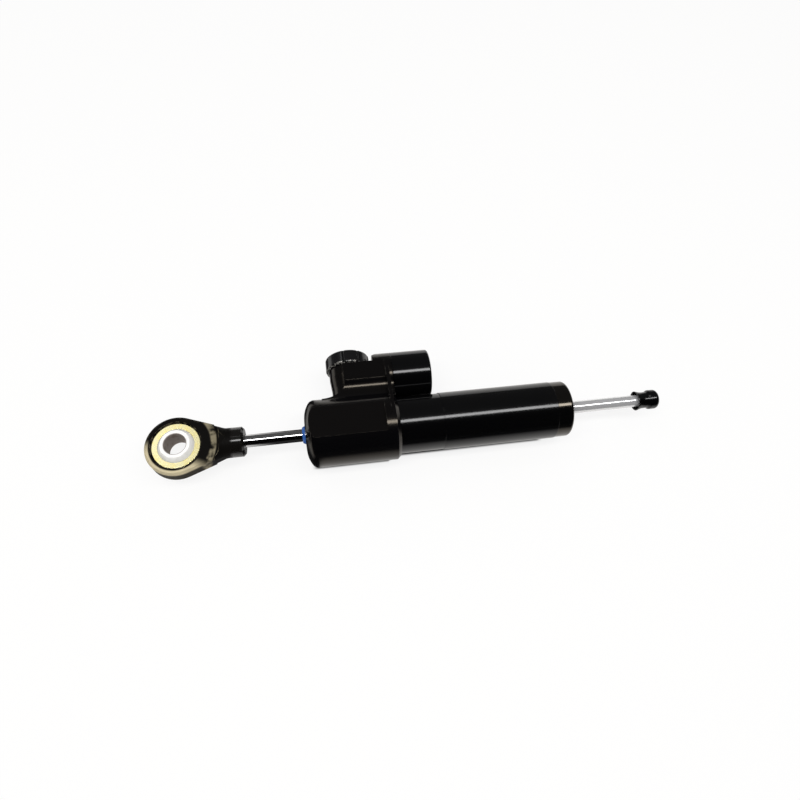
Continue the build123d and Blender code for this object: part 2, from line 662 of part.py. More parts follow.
def ring_groove(x, surface_r, outward):
    """A square groove that opens outward or inward from a round surface."""
    half = RING_WIRE_R + RING_ROOM
    bottom = surface_r + outward * 2 * half
    mouth = surface_r - outward * OVERRUN / 2
    return disc_x(x - half, x + half, max(bottom, mouth), min(bottom, mouth))


def static_o_rings():
    """The rubber rings that seal the tube, the end cap and the chamber."""
    half = RING_WIRE_R + RING_ROOM
    tube_ring = o_ring(tube_ring_x(), TUBE_SPIGOT_R + half, RING_WIRE_R)
    cap_ring = o_ring(cap_ring_x(), TUBE_BORE_R - half, RING_WIRE_R)
    chamber_ring = beside(o_ring(chamber_ring_x(), CHAMBER_SPIGOT_R - half, RING_WIRE_R))
    return Compound(children=[tube_ring, cap_ring, chamber_ring])


def cap_ring_x():
    """Where the end cap's rubber ring lies."""
    return (LINER_END_X + CAP_X) / 2


def chamber_ring_x():
    """Where the chamber's rubber ring lies."""
    return HEAD_END_X - CHAMBER_SPIGOT / 2


def damper_tube():
    """The outer tube: spigot, relieved stretch beside the chamber and ground clamp seat."""
    side_r = TUBE_R - TUBE_RELIEF
    return turned([(TUBE_X, TUBE_BORE_R), (TUBE_X, TUBE_SPIGOT_R - TUBE_SPIGOT_CHAMFER),
                   (TUBE_X + TUBE_SPIGOT_CHAMFER, TUBE_SPIGOT_R), (HEAD_END_X, TUBE_SPIGOT_R),
                   (HEAD_END_X, side_r), (CLAMP_SEAT_X, side_r), (CLAMP_SEAT_X, TUBE_R),
                   (CAP_X - FIT, TUBE_R), (CAP_X - FIT, TUBE_BORE_R)])


def cylinder_liner():
    """The inner cylinder that the piston runs in, with its cross holes."""
    liner = disc_x(CAVITY_X + FIT, LINER_END_X - FIT, LINER_R, LINER_BORE_R)
    port = Cylinder(LINER_PORT_R, LINER_R + OVERRUN,
                    align=(Align.CENTER, Align.CENTER, Align.MIN))
    for step in range(LINER_PORT_COUNT):
        turn = Rot((step + 0.5) * 360 / LINER_PORT_COUNT, 0, 0)
        liner -= turn * Pos(CAVITY_END_X - LINER_PORT_OFFSET, 0, 0) * port
    return liner - disc_y(LINER_BORE_R / 2, LINER_R + OVERRUN, SEAT_R)


def tube_end_cap():
    """The screwed cap with the second gland."""
    flange_r = TUBE_R - TUBE_RELIEF
    cap = turned([(CAVITY_END_X, 0), (CAVITY_END_X, LINER_BORE_R - FIT),
                  (LINER_END_X, LINER_BORE_R - FIT), (LINER_END_X, TUBE_BORE_R - FIT),
                  (CAP_X, TUBE_BORE_R - FIT), (CAP_X, flange_r), (BODY_END_X, flange_r),
                  (BODY_END_X, 0)])
    rim = cap.edges().filter_by(GeomType.CIRCLE)
    rim = rim.filter_by(lambda e: e.radius > flange_r - FIT and e.center().X > BODY_END_X - FIT)
    cap = fillet(rim, CAP_EDGE_R)
    cap -= ring_groove(cap_ring_x(), TUBE_BORE_R - FIT, -1)
    return cap - gland_bore(BODY_END_X, -1)


def chamber_cap():
    """The blind chamber that screws into the head beside the tube."""
    cap = turned([(HEAD_END_X - CHAMBER_SPIGOT, 0),
                  (HEAD_END_X - CHAMBER_SPIGOT, CHAMBER_SPIGOT_R),
                  (CHAMBER_X, CHAMBER_SPIGOT_R), (CHAMBER_X, CHAMBER_R),
                  (CHAMBER_END_X, CHAMBER_R), (CHAMBER_END_X, 0)])
    rim = cap.edges().filter_by(GeomType.CIRCLE)
    rim = rim.filter_by(lambda e: e.radius > CHAMBER_R - FIT and e.center().X > CHAMBER_END_X - FIT)
    cap = fillet(rim, CHAMBER_EDGE_R)
    cap -= disc_x(HEAD_END_X - CHAMBER_SPIGOT - OVERRUN, SPRING_END_X, CHAMBER_BORE_R)
    cap -= ring_groove(chamber_ring_x(), CHAMBER_SPIGOT_R, -1)
    cap -= disc_x(SPRING_END_X - OVERRUN, CHAMBER_END_X + OVERRUN, BLEED_R + FIT)
    return beside(cap)


def bleed_screw():
    """The flush screw that closes the filling hole."""
    screw = disc_x(SPRING_END_X, CHAMBER_END_X, BLEED_R)
    socket = Rot(0, 90, 0) * hex_socket(BLEED_HEX_R, BLEED_HEX_DEPTH + OVERRUN)
    return beside(screw - Pos(CHAMBER_END_X - BLEED_HEX_DEPTH, 0, 0) * socket)


def floating_piston():
    """The cup that parts the oil from the spring in the chamber."""
    radius = CHAMBER_BORE_R - RUNNING
    end = FLOAT_X + FLOAT_LENGTH
    piston = disc_x(FLOAT_X, end, radius)
    piston -= disc_x(end - FLOAT_SKIRT, end + OVERRUN, radius - FLOAT_SKIRT_WALL)
    half = FLOAT_RING_WIRE_R + RING_ROOM
    groove_x = FLOAT_X + FLOAT_RING_X
    piston -= disc_x(groove_x - half, groove_x + half, radius + OVERRUN,
                     CHAMBER_BORE_R - RUNNING - 2 * half)
    return beside(piston)


def floating_piston_ring():
    """The rubber ring on the floating piston."""
    half = FLOAT_RING_WIRE_R + RUNNING
    return beside(o_ring(FLOAT_X + FLOAT_RING_X, CHAMBER_BORE_R - half, FLOAT_RING_WIRE_R))


def chamber_spring():
    """The coil spring behind the floating piston."""
    start = FLOAT_X + FLOAT_LENGTH - FLOAT_SKIRT + SPRING_END_GAP
    length = SPRING_END_X - start - SPRING_END_GAP
    spring = Rot(0, 90, 0) * coil(SPRING_R, SPRING_WIRE_R, length, SPRING_TURNS)
    return beside(Pos(start, 0, 0) * spring)


def adjuster_bushing():
    """The screwed bushing that carries the spindle in the boss."""
    bushing = disc_y(BUSHING_Y, BOSS_TOP_Y, BUSHING_R, SPINDLE_R + RUNNING)
    half = BUSHING_RING_WIRE_R + RING_ROOM
    inner_y = BUSHING_Y + BUSHING_INNER_RING
    outer_y = BUSHING_Y + BUSHING_OUTER_RING
    bushing -= disc_y(inner_y - half, inner_y + half, SPINDLE_R + RUNNING + 2 * half)
    return bushing - disc_y(outer_y - half, outer_y + half, BUSHING_R + OVERRUN,
                            BUSHING_R - 2 * half)


def adjuster_o_rings():
    """The rubber rings inside and outside the bushing."""
    half = BUSHING_RING_WIRE_R + RING_ROOM
    rings = []
    places = ((BUSHING_Y + BUSHING_INNER_RING, SPINDLE_R + RUNNING + half),
              (BUSHING_Y + BUSHING_OUTER_RING, BUSHING_R - half))
    for y, radius in places:
        section = Pos(radius, y) * Circle(BUSHING_RING_WIRE_R)
        rings.append(Pos(KNOB_X, 0, 0) * revolve(section, Axis.Y))
    return Compound(children=rings)


def adjuster_spindle():
    """The spindle that turns with the knob and drives the needle."""
    return turned_y([(VALVE_THREAD_R + VALVE_THREAD_GAP, SPINDLE_Y),
                     (SPINDLE_COLLAR_R, SPINDLE_Y), (SPINDLE_COLLAR_R, SPINDLE_Y + SPINDLE_COLLAR),
                     (SPINDLE_R, SPINDLE_Y + SPINDLE_COLLAR), (SPINDLE_R, SPINDLE_TOP_Y),
                     (VALVE_THREAD_R + VALVE_THREAD_GAP, SPINDLE_TOP_Y)])


def knob_screw():
    """The screw that clamps the knob to the spindle."""
    face = KNOB_TOP_Y - KNOB_RECESS_DEPTH
    screw = turned_y([(0, face + KNOB_SCREW_HEAD), (0, face - KNOB_SCREW_LENGTH),
                      (KNOB_SCREW_R, face - KNOB_SCREW_LENGTH), (KNOB_SCREW_R, face),
                      (KNOB_SCREW_HEAD_R, face), (KNOB_SCREW_HEAD_R, face + KNOB_SCREW_HEAD)])
    socket = Rot(-90, 0, 0) * hex_socket(KNOB_SCREW_HEX_R, KNOB_SCREW_HEX_DEPTH + OVERRUN)
    return screw - Pos(KNOB_X, face + KNOB_SCREW_HEAD - KNOB_SCREW_HEX_DEPTH, 0) * socket


def adjuster_knob():
    """The lobed knob, with the click track in its underside."""
    knob = disc_y(KNOB_Y, KNOB_TOP_Y, KNOB_R)
    rims = knob.edges().filter_by(GeomType.CIRCLE).filter_by(lambda e: e.radius > KNOB_R - FIT)
    knob = fillet(rims, KNOB_EDGE)
    knob -= disc_y(KNOB_TOP_Y - KNOB_RECESS_DEPTH, KNOB_TOP_Y + OVERRUN, KNOB_RECESS_R)
    knob -= disc_y(KNOB_Y - OVERRUN, SPINDLE_TOP_Y + FIT, SPINDLE_R + FIT)
    knob -= disc_y(KNOB_Y, KNOB_TOP_Y, KNOB_SCREW_R + FIT)
    groove = Cylinder(LOBE_GROOVE_R, KNOB_HEIGHT + 2 * OVERRUN)
    for step in range(KNOB_LOBES):
        angle = (step + 0.5) * 360 / KNOB_LOBES
        place = Rot(0, 0, angle) * Pos(KNOB_R - LOBE_GROOVE_SINK, 0, 0)
        upright = Pos(KNOB_X, KNOB_Y + KNOB_HEIGHT / 2, 0) * Rot(-90, 0, 0)
        knob -= upright * place * groove
    knob -= disc_y(KNOB_Y - OVERRUN, KNOB_Y + DETENT_TRACK_DEPTH, DETENT_OFFSET + DETENT_TRACK_HALF,
                   DETENT_OFFSET - DETENT_TRACK_HALF)
    return knob - detent_dimples()


def detent_dimples():
    """The ring of pits that the click ball drops into."""
    pit_y = KNOB_Y + DETENT_TRACK_DEPTH + DETENT_DIMPLE_SINK - DETENT_R
    pits = []
    for step in range(DETENT_DIMPLES):
        angle = math.radians(step * 360 / DETENT_DIMPLES)
        x = KNOB_X + DETENT_OFFSET * math.cos(angle)
        z = DETENT_OFFSET * math.sin(angle)
        pits.append(Pos(x, pit_y, z) * Sphere(DETENT_R))
    return pits


def detent_ball():
    """The click ball, which stands out of the boss into the knob's track."""
    y = BOSS_TOP_Y + DETENT_RISE - DETENT_R
    return Pos(KNOB_X + DETENT_OFFSET, y, 0) * Sphere(DETENT_R)


def detent_spring():
    """The small spring under the click ball."""
    top = BOSS_TOP_Y + DETENT_RISE - 2 * DETENT_R
    bottom = BOSS_TOP_Y - DETENT_HOLE_DEPTH
    radius = DETENT_R - 2 * DETENT_WIRE_R
    spring = coil(radius, DETENT_WIRE_R, top - bottom - SPRING_END_GAP, DETENT_TURNS)
    return Pos(KNOB_X + DETENT_OFFSET, bottom + FIT, 0) * Rot(-90, 0, 0) * spring


def key_pin_shape(room):
    """The pin that keeps the needle from turning, or its hole where room is added."""
    start = SEAT_Y - KEY_PIN_DEPTH - room
    top = NEEDLE_COLLAR_Y + NEEDLE_COLLAR
    pin = Cylinder(KEY_PIN_R + room, top - start, align=(Align.CENTER, Align.CENTER, Align.MIN))
    return Pos(KNOB_X, start, KEY_PIN_OFFSET) * Rot(-90, 0, 0) * pin


def adjuster_needle():
    """The metering needle with its threaded stem, collar and cone."""
    tip_y = SEAT_Y - NEEDLE_DIP
    collar_top = NEEDLE_COLLAR_Y + NEEDLE_COLLAR
    collar_r = VALVE_BORE_R - RUNNING
    stem_top = collar_top + NEEDLE_END_GAP + SPINDLE_COLLAR + BUSHING_LENGTH
    needle = turned_y([(0, tip_y), (NEEDLE_TIP_R, tip_y), (NEEDLE_STEM_R, tip_y + NEEDLE_CONE),
                       (NEEDLE_STEM_R, NEEDLE_COLLAR_Y), (collar_r, NEEDLE_COLLAR_Y),
                       (collar_r, collar_top), (VALVE_THREAD_R, collar_top),
                       (VALVE_THREAD_R, stem_top), (0, stem_top)])
    hole = Rot(-90, 0, 0) * Cylinder(KEY_PIN_R + RUNNING, NEEDLE_COLLAR + 2 * OVERRUN,
                                     align=(Align.CENTER, Align.CENTER, Align.MIN))
    return needle - Pos(KNOB_X, NEEDLE_COLLAR_Y - OVERRUN, KEY_PIN_OFFSET) * hole


def write(name, shape):
    """Writes one named piece and prints its volume."""
    export_step(shape, "parts/" + name + ".step")
    print(name, round(shape.volume, 2))


def main():
    """Builds every piece in its place and writes it."""
    os.makedirs("parts", exist_ok=True)
    write("head_block", head_block())
    write("damper_tube", damper_tube())
    write("cylinder_liner", cylinder_liner())
    write("tube_end_cap", tube_end_cap())
    write("head_wiper_seal", wiper_seal(HEAD_X, 1))
    write("cap_wiper_seal", wiper_seal(BODY_END_X, -1))
    write("head_rod_seal", rod_seal(HEAD_X, 1))
    write("cap_rod_seal", rod_seal(BODY_END_X, -1))
    write("head_guide_bush", guide_bush(HEAD_X, 1))
    write("cap_guide_bush", guide_bush(BODY_END_X, -1))
    write("gland_clips", Compound(children=[gland_clip(HEAD_X, 1), gland_clip(BODY_END_X, -1)]))
    write("static_o_rings", static_o_rings())
    write("chamber_cap", chamber_cap())
    write("bleed_screw", bleed_screw())
    write("floating_piston", floating_piston())
    write("floating_piston_ring", floating_piston_ring())
    write("chamber_spring", chamber_spring())
    write("adjuster_bushing", adjuster_bushing())
    write("adjuster_o_rings", adjuster_o_rings())
    write("adjuster_spindle", adjuster_spindle())
    write("adjuster_knob", adjuster_knob())
    write("knob_screw", knob_screw())
    write("adjuster_needle", adjuster_needle())
    write("needle_key_pin", key_pin_shape(0))
    write("detent_ball", detent_ball())
    write("detent_spring", detent_spring())
    write("piston_band", piston_band())
    write("damping_piston", damping_piston())
    write("piston_clips", piston_clips())
    write("through_rod", through_rod())
    write("free_end_stop", free_end_stop())
    write("rod_end_housing", rod_end_housing())
    write("rod_lock_screw", lock_screw())
    write("bearing_outer_ring", bearing_outer_ring())
    write("bearing_ball", bearing_ball())


main()
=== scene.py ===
"""The looks of a through-rod steering damper: its finishes and the stage it lies on."""

import math

import bpy
from bpy.props import FloatProperty, FloatVectorProperty, PointerProperty
from mathutils import Euler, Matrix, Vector


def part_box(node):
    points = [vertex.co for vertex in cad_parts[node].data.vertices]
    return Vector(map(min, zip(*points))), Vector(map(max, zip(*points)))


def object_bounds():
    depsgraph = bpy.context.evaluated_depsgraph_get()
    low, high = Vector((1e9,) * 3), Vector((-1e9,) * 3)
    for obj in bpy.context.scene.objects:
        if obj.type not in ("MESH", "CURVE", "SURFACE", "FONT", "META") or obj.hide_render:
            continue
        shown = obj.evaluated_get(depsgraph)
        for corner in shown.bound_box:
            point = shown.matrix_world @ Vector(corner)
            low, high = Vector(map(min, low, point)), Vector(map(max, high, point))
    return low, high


bl_info = {
    "name": "Steering Damper Looks",
    "version": (1, 0, 0),
    "blender": (4, 5, 0),
    "location": "3D View > Sidebar > Damper",
    "description": "Dresses a steering damper with its finishes and lays it on a pale stage",
    "category": "Object",
}

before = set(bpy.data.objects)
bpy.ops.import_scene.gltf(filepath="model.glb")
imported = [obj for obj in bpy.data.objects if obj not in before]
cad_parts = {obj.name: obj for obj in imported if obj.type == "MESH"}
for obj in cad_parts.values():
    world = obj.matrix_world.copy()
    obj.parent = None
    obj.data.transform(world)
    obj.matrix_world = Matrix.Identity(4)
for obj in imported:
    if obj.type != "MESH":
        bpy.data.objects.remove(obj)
CAD_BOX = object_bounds()
MM = 0.001
WHITE = (1, 1, 1)
EVEN = (1, 1, 1)

# Places on the damper, from the frame
NOSE_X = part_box("head_block")[0].x
HEAD_END_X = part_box("head_block")[1].x
BODY_END_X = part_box("tube_end_cap")[1].x
KNOB_FOOT_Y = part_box("adjuster_knob")[0].y
EYE_R = -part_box("rod_end_housing")[0].x
NECK_END_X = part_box("rod_end_housing")[1].x
BORE_R = 5 * MM

# Where a finish changes: each pair of places is the start and the end of a smooth step
# The knob's rim beside the boss, where glints are painted
KNOB_GLINT_RIM_START = (KNOB_FOOT_Y - 0.1 * MM, KNOB_FOOT_Y + 0.3 * MM)
KNOB_GLINT_RIM_END = (KNOB_FOOT_Y + 0.7 * MM, KNOB_FOOT_Y + 1.4 * MM)
# Rims of the rod end where khaki wear and a painted reflection of the floor are drawn
RIM_WEAR_AND_REFLECTION_RADIUS = (EYE_R - 2.2 * MM, EYE_R - 1.5 * MM)
RIM_WEAR_AND_REFLECTION_DIRECTION = (-0.45, -0.9, 0)
RIM_WEAR_AND_REFLECTION_SIDE = (1.5 * MM, 8 * MM)
RIM_WEAR_AND_REFLECTION_HEIGHT = (1.4 * MM, 3.4 * MM)
WORN_RAMP_START = (EYE_R + 1.2 * MM, EYE_R + 2.2 * MM)
WORN_RAMP_END = (EYE_R + 4.0 * MM, EYE_R + 4.8 * MM)
GLOSSY_NECK = (NECK_END_X - 6.3 * MM, NECK_END_X - 4.3 * MM)
DARK_BORE_END = (BORE_R + 0.05 * MM, BORE_R + 0.4 * MM)
DULL_ROD = (BODY_END_X - 6.7 * MM, BODY_END_X + 1.3 * MM)

# Painted shadow: the floor right under the body stays dark, drawn as its contact shadow
PAINTED_SHADOW_START = (NOSE_X + 0.7 * MM, NOSE_X + 4.7 * MM)
PAINTED_SHADOW_END = (BODY_END_X - 12.7 * MM, BODY_END_X - 8.7 * MM)
PAINTED_SHADOW_REACH = (18.6 * MM, 19.4 * MM)
PAINTED_SHADOW_HEAD_END = (HEAD_END_X - 5.7 * MM, HEAD_END_X - 1.7 * MM)
PAINTED_SHADOW_HEAD_EXTRA = 1.3 * MM

# Painted shade that only reflections see: the floor is drawn dark in front of the damper and before the
# nose of its head
NEAR_PAINTED_SHADE = (20 * MM, 90 * MM)
NOSE_PAINTED_SHADE_START = (NOSE_X - 39.3 * MM, NOSE_X - 14.3 * MM)
NOSE_PAINTED_SHADE_END = (NOSE_X + 2.7 * MM, NOSE_X + 6.7 * MM)
# How dark the painted shade and the painted shadow under the body are drawn
PAINTED_SHADE_LEVEL = 0.02

# How finely a noise is broken up
SOFT = 2.0
CLOUDY = 3.0
GRAINY = 4.0

# Surface marks: their widths, their depths and how far they are drawn out
BLAST_GRAIN = 0.25 * MM
END_GRAIN = 0.3 * MM
GRAIN_DEPTH = 0.002 * MM
HEAD_SMEAR = 14 * MM
HEAD_STRETCH = (0.35, 1, 1)
TUBE_SMEAR = 18 * MM
TUBE_STRETCH = (0.3, 1, 1)
TUBE_MARKS = 0.12 * MM
TUBE_MARKS_DEPTH = 0.0004 * MM
ROD_MARKS = 0.06 * MM
ROD_MARKS_DEPTH = 0.0001 * MM
ROD_FILM = 9 * MM
ROD_STRETCH = (0.4, 1, 1)
BALL_MARKS = 0.1 * MM
BALL_MARKS_DEPTH = 0.0004 * MM
BALL_FILM = 3 * MM
RING_MARKS = 0.14 * MM
RING_MARKS_DEPTH = 0.0005 * MM
RING_PATCH = 3.5 * MM
SKIN = 0.4 * MM
SKIN_DEPTH = 0.003 * MM
SKIN_PATCH = 5 * MM
TURNED_MARKS = 0.15 * MM
TURNED_MARKS_DEPTH = 0.002 * MM
TURNED_CLOUD = 6 * MM

# Wear, films and painted glints: their widths, and the stretch of noise over which each one comes in
RUBBED_EDGE = 0.35 * MM
RUBBED_PATCH = 3 * MM
RUBBED_SPREAD = (0.45, 0.75)
KNOB_GLINT = 1.1 * MM
KNOB_GLINT_SPREAD = (0.48, 0.6)
WORN_EDGE = 0.4 * MM
WORN_EDGE_SPREAD = (0.45, 0.6)
WORN_PATCH = 4 * MM
WORN_RAMP_SPREAD = (0.35, 0.6)
BALL_FILM_SPREAD = (0.5, 0.75)
PLATING_SPREAD = (0.3, 0.6)
EDGE_GAIN = 4.0

# How far each kind of piece is rounded on its edges
HEAD_ROUND = 0.12 * MM
KNOB_ROUND = 0.15 * MM
TUBE_ROUND = 0.3 * MM
END_ROUND = 0.2 * MM
BALL_ROUND = 0.1 * MM
RING_ROUND = 0.15 * MM
MOULDED_ROUND = 0.15 * MM
TURNED_ROUND = 0.15 * MM
ROUND_SAMPLES = 6

# Refraction of the anodised and coated surfaces
HEAD_INDEX = 1.44
TUBE_INDEX = 1.48
CAP_INDEX = 1.62
KNOB_INDEX = 1.6
WORN_INDEX = 1.12
NECK_INDEX = 1.5

# Colour and roughness of the inner pieces and the screws
GROUND_STEEL = ((0.55, 0.55, 0.56), 0.2)
BLACKENED_STEEL = ((0.05, 0.05, 0.052), 0.35)
SPRING_STEEL = ((0.32, 0.32, 0.33), 0.25)
BRONZE = ((0.6, 0.4, 0.18), 0.25)
ALUMINIUM = ((0.75, 0.75, 0.76), 0.25)
RUBBER = ((0.012, 0.012, 0.012), 0.5)
SLIDE_BAND = ((0.25, 0.17, 0.1), 0.5)

# The stage, in metres, but the camera's film in millimetres
STRIP_OFFSET = (0, -0.13, 1.0)
STRIP_SIZE = (1.6, 0.17)
WINDOW_PLACE = (-0.42, 0.42, 1.0)
WINDOW_SIZE = (0.46, 0.42)
FLOOR_CLOUD = 0.4
FLOOR_CLOUD_COLOUR = (0.85, 0.84, 0.82)
FLOOR_ROUGHNESS = 0.6
CEILING_START = (-0.05, 0.1)
FILM_WIDTH = 36.0
NEAREST_VIEW = 0.01


class Reading:
    """A number that the nodes give at each point of a surface."""

    def __init__(self, board, socket):
        self.board = board
        self.socket = socket

    def maths(self, operation, first, second):
        """One Math node on two readings or numbers."""
        return self.board.node("ShaderNodeMath", {"operation": operation}, {0: first, 1: second})

    def __add__(self, other):
        return self.maths("ADD", self, other)

    def __sub__(self, other):
        return self.maths("SUBTRACT", self, other)

    def __mul__(self, other):
        return self.maths("MULTIPLY", self, other)

    def __radd__(self, other):
        return self.maths("ADD", other, self)

    def __rsub__(self, other):
        return self.maths("SUBTRACT", other, self)

    def __rmul__(self, other):
        return self.maths("MULTIPLY", other, self)

    def kept(self):
        """The same reading kept between 0 and 1."""
        return self.maths("MINIMUM", self.maths("MAXIMUM", self, 0.0), 1.0)

    def ramp(self, start, end):
        """0 where the reading is under start, 1 where it is over end, smooth between."""
        sockets = {0: self, 1: start, 2: end}
        return self.board.node("ShaderNodeMapRange", {"interpolation_type": "SMOOTHSTEP"}, sockets)

    def band(self, rise, fall):
        """1 between two smooth steps and 0 outside them."""
        return self.ramp(*rise) * (1 - self.ramp(*fall))


class Board:
    """A node tree on which readings are made."""

    def __init__(self, owner):
        owner.use_nodes = True
        self.tree = owner.node_tree

    def node(self, kind, settings=None, inputs=None, output=0):
        """Makes one node, with its settings first and then the values or links of its sockets."""
        made = self.tree.nodes.new(kind)
        for name, value in (settings or {}).items():
            setattr(made, name, value)
        for key, value in (inputs or {}).items():
            if isinstance(value, Reading):
                self.tree.links.new(value.socket, made.inputs[key])
            else:
                made.inputs[key].default_value = value
        return Reading(self, made.outputs[output])

    def ray(self, kind):
        """1 for rays of one kind, such as Camera or Glossy, and 0 for all others."""
        return self.node("ShaderNodeLightPath", output="Is " + kind + " Ray")

    def blend(self, share, first, second):
        """A shader between two shaders."""
        return self.node("ShaderNodeMixShader", None, {0: share, 1: first, 2: second})

    def white(self, kind, strength):
        """A plain white Emission or Background shader of one strength."""
        return self.node("ShaderNode" + kind, None, {"Color": opaque(WHITE), "Strength": strength})

    def shown(self, shader, output):
        """Makes a shader the one that the tree's output node shows."""
        self.tree.links.new(shader.socket, self.tree.nodes[output].inputs["Surface"])


class Finish(Board):
    """A procedural material that is built from readings."""

    def __init__(self, name):
        self.material = bpy.data.materials.new(name)
        super().__init__(self.material)
        self.shader = self.tree.nodes["Principled BSDF"]
        self.place = self.node("ShaderNodeTexCoord", output="Object")

    def along(self, axis):
        """The place along the X, Y or Z axis, in metres."""
        return self.node("ShaderNodeSeparateXYZ", None, {0: self.place}, axis)

    def towards(self, direction):
        """How far the place lies in a direction from the origin, in metres."""
        sockets = {0: self.place, 1: direction}
        return self.node("ShaderNodeVectorMath", {"operation": "DOT_PRODUCT"}, sockets, "Value")

    def spread(self, factors):
        """The place with each of its three parts multiplied by a factor."""
        return self.node("ShaderNodeVectorMath", {"operation": "MULTIPLY"}, {0: self.place, 1: factors})

    def from_axis(self, axis):
        """The distance from the X, Y or Z axis, in metres."""
        across = self.spread([float(name != axis) for name in "XYZ"])
        return self.node("ShaderNodeVectorMath", {"operation": "LENGTH"}, {0: across}, "Value")

    def noise(self, size, detail=CLOUDY, stretch=EVEN):
        """Cloudy noise between 0 and 1 whose features are about size metres wide."""
        sockets = {"Vector": self.spread(stretch), "Scale": 1 / size, "Detail": detail}
        return self.node("ShaderNodeTexNoise", None, sockets)

    def rings(self, distance, pitch):
        """Fine tool marks that follow one distance, with one mark about every pitch metres."""
        line = self.node("ShaderNodeCombineXYZ", None, {0: distance})
        sockets = {"Vector": line, "Scale": 1 / pitch, "Detail": SOFT}
        return self.node("ShaderNodeTexNoise", None, sockets)

    def rounded(self, radius):
        """The surface's normal with its edges softened to a radius."""
        return self.node("ShaderNodeBevel", {"samples": ROUND_SAMPLES}, {"Radius": radius})

    def edges(self, radius):
        """1 on sharp edges and 0 on flat faces."""
        hard = self.node("ShaderNodeNewGeometry", output="Normal")
        sockets = {0: self.rounded(radius), 1: hard}
        facing = self.node("ShaderNodeVectorMath", {"operation": "DOT_PRODUCT"}, sockets, "Value")
        return ((1 - facing) * EDGE_GAIN).kept()

    def round_normal(self):
        """The true normal of a cylinder that lies along the X axis."""
        settings = {"vector_type": "NORMAL", "convert_from": "OBJECT", "convert_to": "WORLD"}
        return self.node("ShaderNodeVectorTransform", settings, {0: self.spread((0, 1, 1))})

    def bumped(self, height, depth, normal):
        """A normal disturbed by a height reading, depth in metres."""
        sockets = {"Height": height, "Distance": depth, "Strength": 1.0, "Normal": normal}
        return self.node("ShaderNodeBump", None, sockets)

    def mixed(self, share, first, second):
        """A colour between two colours."""
        sockets = {0: share, 6: opaque(first), 7: opaque(second)}
        return self.node("ShaderNodeMix", {"data_type": "RGBA"}, sockets, 2)

    def ends(self, **sockets):
        """Sets or links the shader's sockets and hands the material back."""
        for name, value in sockets.items():
            socket = self.shader.inputs[name.replace("_", " ")]
            if isinstance(value, Reading):
                self.tree.links.new(value.socket, socket)
            else:
                socket.default_value = value
        return self.material


def opaque(colour):
    """A colour with full alpha."""
    return (*colour, 1.0)


def darker(colour, share):
    """A colour with a share of its brightness."""
    return [part * share for part in colour]


class BlackFinishes(bpy.types.PropertyGroup):
    """The black anodised and plastic surfaces."""
    head_colour: FloatVectorProperty(
        name="Head colour", description="Base colour of the head block",
        subtype="COLOR", default=(0.0015, 0.0015, 0.002))
    tube_colour: FloatVectorProperty(
        name="Tube colour", description="Base colour of the tube, its end cap and the side chamber",
        subtype="COLOR", default=(0.0012, 0.0012, 0.0014))
    knob_colour: FloatVectorProperty(
        name="Knob colour", description="Base colour of the adjuster knob",
        subtype="COLOR", default=(0.004, 0.004, 0.0045))
    # Also the colour of the glints painted on the knob's rim
    rubbed_and_glint_colour: FloatVectorProperty(
        name="Rubbed colour", description="Colour of black edges that are rubbed bright",
        subtype="COLOR", default=(0.5, 0.48, 0.44))
    eye_colour: FloatVectorProperty(
        name="Rod end colour", description="Base colour of the rod end",
        subtype="COLOR", default=(0.004, 0.0035, 0.003))
    # Also the colour of the floor's reflection that is painted on the rod end's near and left rims
    khaki_wear_and_reflection_colour: FloatVectorProperty(
        name="Worn rod end colour", description="Khaki colour of the worn rims of the rod end",
        subtype="COLOR", default=(0.68, 0.59, 0.39))
    warm_shine: FloatVectorProperty(
        name="Warm shine", description="Tint of the highlights on the head block and the end cap",
        subtype="COLOR", default=(1.0, 0.88, 0.72))
    head_roughness: FloatProperty(
        name="Head roughness", description="Roughness of the head block",
        subtype="FACTOR", min=0, max=1, default=0.12)
    tube_roughness: FloatProperty(
        name="Tube roughness", description="Roughness of the tube",
        subtype="FACTOR", min=0, max=1, default=0.09)
    cap_roughness: FloatProperty(
        name="End cap roughness", description="Roughness of the end cap",
        subtype="FACTOR", min=0, max=1, default=0.07)
    stop_roughness: FloatProperty(
        name="Stop roughness", description="Roughness of the stop on the rod's free end",
        subtype="FACTOR", min=0, max=1, default=0.12)
    knob_roughness: FloatProperty(
        name="Knob roughness", description="Roughness of the adjuster knob",
        subtype="FACTOR", min=0, max=1, default=0.16)
    eye_roughness: FloatProperty(
        name="Rod end roughness", description="Roughness of the rod end",
        subtype="FACTOR", min=0, max=1, default=0.45)


